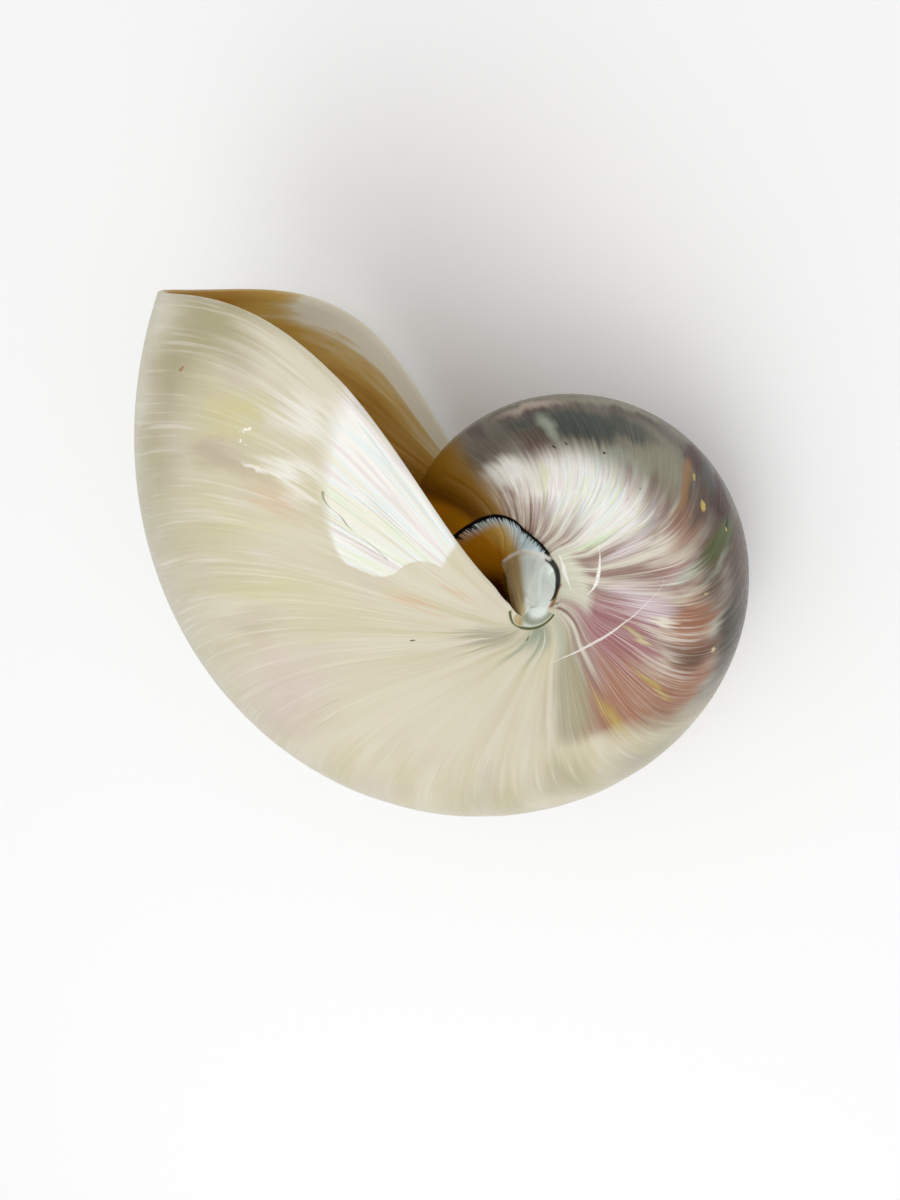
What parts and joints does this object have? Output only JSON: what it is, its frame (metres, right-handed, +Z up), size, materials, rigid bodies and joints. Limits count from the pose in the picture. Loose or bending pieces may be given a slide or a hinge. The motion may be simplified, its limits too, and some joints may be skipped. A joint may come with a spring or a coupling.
{
  "type": "polished nautilus shell",
  "caption": "Whole coiled nautilus shell polished to mother-of-pearl, lying on its flank, with an open living chamber, a thin lip and a callus at the umbilicus.",
  "frame": {"origin": "middle of the shell's box, on the surface that it lies on", "axes": "+Z up, away from the surface that the shell lies on; +X from the lip's side to the coil's side; the chamber opens towards +Y and +X"},
  "size_m": [0.13, 0.1226, 0.0836],
  "materials": {
    "nacre": "polished mother-of-pearl, amber inside the chamber"
  },
  "bodies": {
    "root": {"shell": "nacre"}
  },
  "joints": []
}
